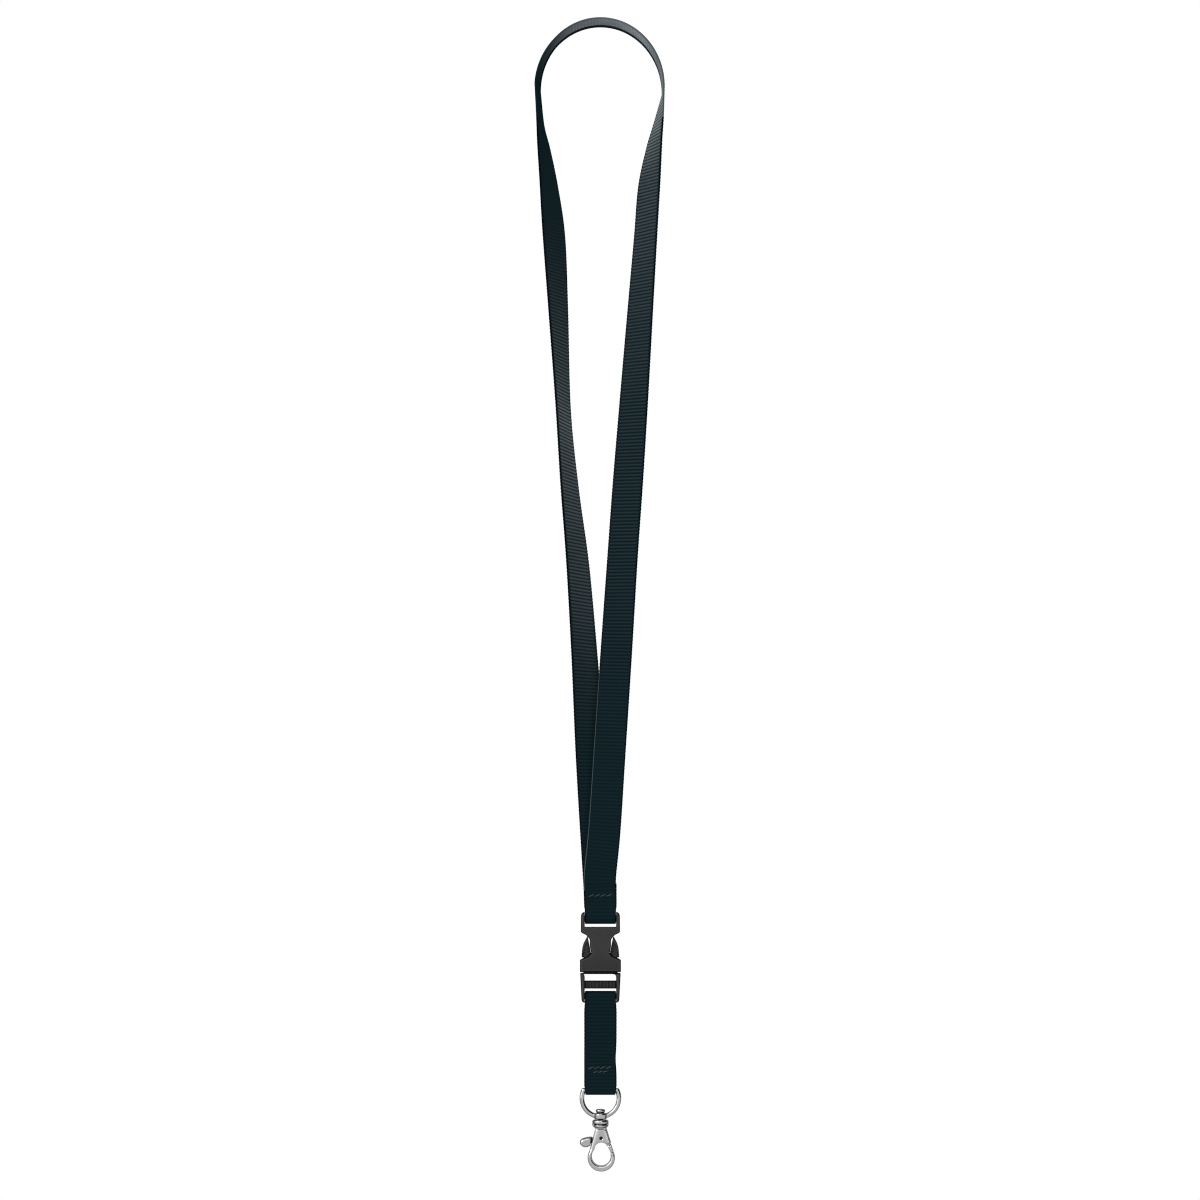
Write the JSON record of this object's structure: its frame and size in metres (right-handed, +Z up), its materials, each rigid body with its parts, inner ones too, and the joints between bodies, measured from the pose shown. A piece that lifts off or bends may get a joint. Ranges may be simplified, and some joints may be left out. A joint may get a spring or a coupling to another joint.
{
  "type": "neck lanyard",
  "caption": "Dark woven neck lanyard with a side-release buckle, a short webbing loop and a D-ring carrying a swivel trigger clasp.",
  "frame": {"origin": "middle of the inner face of the webbing at the top of the neck arch, where the lanyard rests on a neck or peg", "axes": "+Z up, along the hanging length; X across the webbing at the buckle; -Y towards the viewer; the neck loop leans back towards +Y as it rises"},
  "size_m": [0.0625, 0.1214, 0.5451],
  "materials": {
    "webbing": "ribbed polyester webbing, matt",
    "thread": "twisted polyester thread",
    "buckle_plastic": "satin moulded acetal",
    "plated_metal": "bright nickel plate on die-cast zinc and bent wire",
    "spring_steel": "drawn wire"
  },
  "bodies": {
    "neck_loop": {"neck_strap": "webbing", "neck_strap_stitching": "thread"},
    "socket": {"buckle_socket": "buckle_plastic"},
    "plug": {"buckle_plug": "buckle_plastic"},
    "arm_left": {"latch_arm_left": "buckle_plastic"},
    "arm_right": {"latch_arm_right": "buckle_plastic"},
    "short_loop": {"short_strap": "webbing", "short_strap_stitching": "thread"},
    "ring": {"d_ring": "plated_metal"},
    "clasp": {"swivel_post": "plated_metal", "hook_body": "plated_metal", "pivot_pin": "plated_metal", "gate_spring": "spring_steel"},
    "gate": {"gate_lever": "plated_metal"}
  },
  "joints": [
    {"name": "socket_swing", "type": "hinge", "parent": "neck_loop", "child": "socket", "pos_m": [0, -0.11, -0.42535], "axis": [1, 0, 0], "range_deg": [-60, 60]},
    {"name": "buckle_release", "type": "slide", "parent": "socket", "child": "plug", "axis": [0, 0, -1], "range_m": [0, 0.024], "deforming": ["latch_arm_left", "latch_arm_right"]},
    {"name": "press_right", "type": "hinge", "parent": "plug", "child": "arm_right", "pos_m": [0.0066, -0.11, -0.447], "axis": [0, -1, 0], "range_deg": [0, 10]},
    {"name": "press_left", "type": "hinge", "parent": "plug", "child": "arm_left", "pos_m": [-0.0066, -0.11, -0.447], "axis": [0, -1, 0], "range_deg": [-10, 0]},
    {"name": "strap_swing", "type": "hinge", "parent": "plug", "child": "short_loop", "pos_m": [0, -0.11, -0.46138], "axis": [1, 0, 0], "range_deg": [-60, 60]},
    {"name": "ring_swing", "type": "hinge", "parent": "short_loop", "child": "ring", "pos_m": [0, -0.11, -0.5051], "axis": [1, 0, 0], "range_deg": [-45, 45]},
    {"name": "swivel", "type": "hinge", "parent": "ring", "child": "clasp", "pos_m": [0, -0.11, -0.5183], "axis": [0, 0, 1], "continuous": true},
    {"name": "gate_open", "type": "hinge", "parent": "clasp", "child": "gate", "pos_m": [0.0003, -0.11, -0.5272], "axis": [0, 1, 0], "range_deg": [0, 26]}
  ],
  "couplings": [
    {"joint": "press_left", "follows": "press_right", "ratio": -1}
  ]
}
